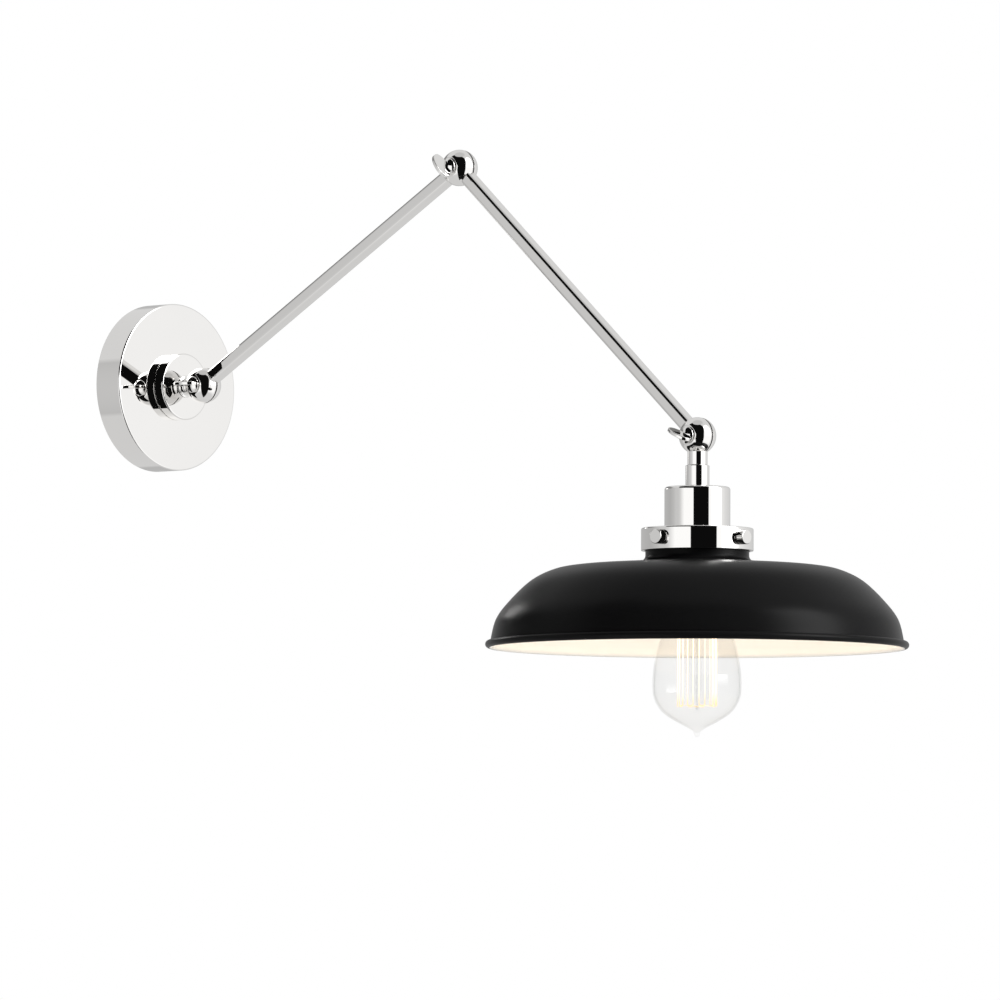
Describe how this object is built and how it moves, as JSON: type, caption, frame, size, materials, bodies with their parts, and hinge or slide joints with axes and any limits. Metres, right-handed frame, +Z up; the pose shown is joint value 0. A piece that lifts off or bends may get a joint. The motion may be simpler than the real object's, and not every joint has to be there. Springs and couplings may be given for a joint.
{
  "type": "swing arm wall sconce",
  "caption": "Wall light with a round canopy, a swivelling hub, two jointed square arms with wing keys, and a dome shade over a clear bulb.",
  "frame": {"origin": "centre of the canopy's back rim, on the wall plane", "axes": "+Z up, +Y into the wall, so the light reaches out along -Y; the knuckles pivot about X and their wing keys are on the -X side"},
  "size_m": [0.3044, 0.6958, 0.4395],
  "materials": {
    "polished_nickel": "polished nickel",
    "zinc_steel": "zinc plated",
    "brass": "plain",
    "cap_brass": "dull",
    "black_enamel": "satin black outside, cream white inside",
    "black_nylon": "matt",
    "porcelain": "glazed",
    "clear_glass": "clear",
    "filament_wire": "glowing",
    "lead_cover": "matt",
    "connector_plastic": "matt",
    "green_steel": "green"
  },
  "bodies": {
    "canopy_body": {"canopy": "polished_nickel", "crossbar": "zinc_steel", "canopy_screw_top": "polished_nickel", "canopy_screw_bottom": "polished_nickel", "ground_screw": "green_steel", "wire_nut_live": "connector_plastic", "wire_nut_neutral": "connector_plastic", "supply_lead_live": "lead_cover", "supply_lead_neutral": "lead_cover", "friction_washer": "zinc_steel"},
    "hub": {"hub_disc": "polished_nickel", "hub_nut": "brass", "wall_neck": "polished_nickel", "neck_lead": "lead_cover", "wall_knuckle_washer": "black_nylon"},
    "lower_arm": {"wall_knuckle_cap": "polished_nickel", "lower_arm_tube": "polished_nickel", "lower_arm_lead": "lead_cover", "elbow_inner_half": "polished_nickel", "elbow_washer": "black_nylon"},
    "outer_arm": {"elbow_outer_half": "polished_nickel", "outer_arm_tube": "polished_nickel", "outer_arm_lead": "lead_cover", "shade_knuckle_cap": "polished_nickel", "shade_knuckle_washer": "black_nylon"},
    "head": {"shade_stem": "polished_nickel", "stem_lead": "lead_cover", "stem_coupler": "polished_nickel", "socket_cup": "polished_nickel", "stem_nut": "brass", "socket_strap": "zinc_steel", "socket_body": "porcelain", "screw_shell": "brass", "socket_contact": "brass", "shade_collar": "polished_nickel", "shade": "black_enamel"},
    "wall_key": {"wall_key": "polished_nickel"},
    "elbow_key": {"elbow_key": "polished_nickel"},
    "shade_key": {"shade_key": "polished_nickel"},
    "screw_right": {"collar_screw_right": "polished_nickel"},
    "screw_front": {"collar_screw_front": "polished_nickel"},
    "screw_left": {"collar_screw_left": "polished_nickel"},
    "screw_back": {"collar_screw_back": "polished_nickel"},
    "bulb": {"bulb_cap": "cap_brass", "bulb_insulator": "black_nylon", "bulb_contact": "brass", "bulb_glass": "clear_glass", "filament_mount": "clear_glass", "filament_spider_top": "zinc_steel", "filament_spider_bottom": "zinc_steel", "filament": "filament_wire"}
  },
  "joints": [
    {"name": "hub_swivel", "type": "hinge", "parent": "canopy_body", "child": "hub", "pos_m": [0, -0.0243, 0], "axis": [0, -1, 0], "range_deg": [-90, 90]},
    {"name": "wall_knuckle", "type": "hinge", "parent": "hub", "child": "lower_arm", "pos_m": [0, -0.0515, 0], "axis": [1, 0, 0], "range_deg": [-50, 60]},
    {"name": "elbow_knuckle", "type": "hinge", "parent": "lower_arm", "child": "outer_arm", "pos_m": [0, -0.31209, 0.14864], "axis": [1, 0, 0], "range_deg": [-65, 45]},
    {"name": "shade_knuckle", "type": "hinge", "parent": "outer_arm", "child": "head", "pos_m": [0, -0.54359, -0.06054], "axis": [1, 0, 0], "range_deg": [-90, 70]},
    {"name": "wall_key_turn", "type": "hinge", "parent": "lower_arm", "child": "wall_key", "pos_m": [0, -0.0515, 0], "axis": [1, 0, 0], "range_deg": [-90, 90]},
    {"name": "elbow_key_turn", "type": "hinge", "parent": "outer_arm", "child": "elbow_key", "pos_m": [0, -0.31209, 0.14864], "axis": [1, 0, 0], "range_deg": [-90, 90]},
    {"name": "shade_key_turn", "type": "hinge", "parent": "outer_arm", "child": "shade_key", "pos_m": [0, -0.54359, -0.06054], "axis": [1, 0, 0], "range_deg": [-90, 90]},
    {"name": "screw_right_turn", "type": "hinge", "parent": "head", "child": "screw_right", "pos_m": [0.04, -0.54359, -0.13503], "axis": [1, 0, 0], "range_deg": [0, 360]},
    {"name": "screw_front_turn", "type": "hinge", "parent": "head", "child": "screw_front", "pos_m": [0, -0.58359, -0.13503], "axis": [0, -1, 0], "range_deg": [0, 360]},
    {"name": "screw_left_turn", "type": "hinge", "parent": "head", "child": "screw_left", "pos_m": [-0.04, -0.54359, -0.13503], "axis": [-1, 0, 0], "range_deg": [0, 360]},
    {"name": "screw_back_turn", "type": "hinge", "parent": "head", "child": "screw_back", "pos_m": [0, -0.50359, -0.13503], "axis": [0, 1, 0], "range_deg": [0, 360]},
    {"name": "bulb_turn", "type": "hinge", "parent": "head", "child": "bulb", "pos_m": [0, -0.54359, -0.18054], "axis": [0, 0, -1], "range_deg": [0, 900]}
  ]
}
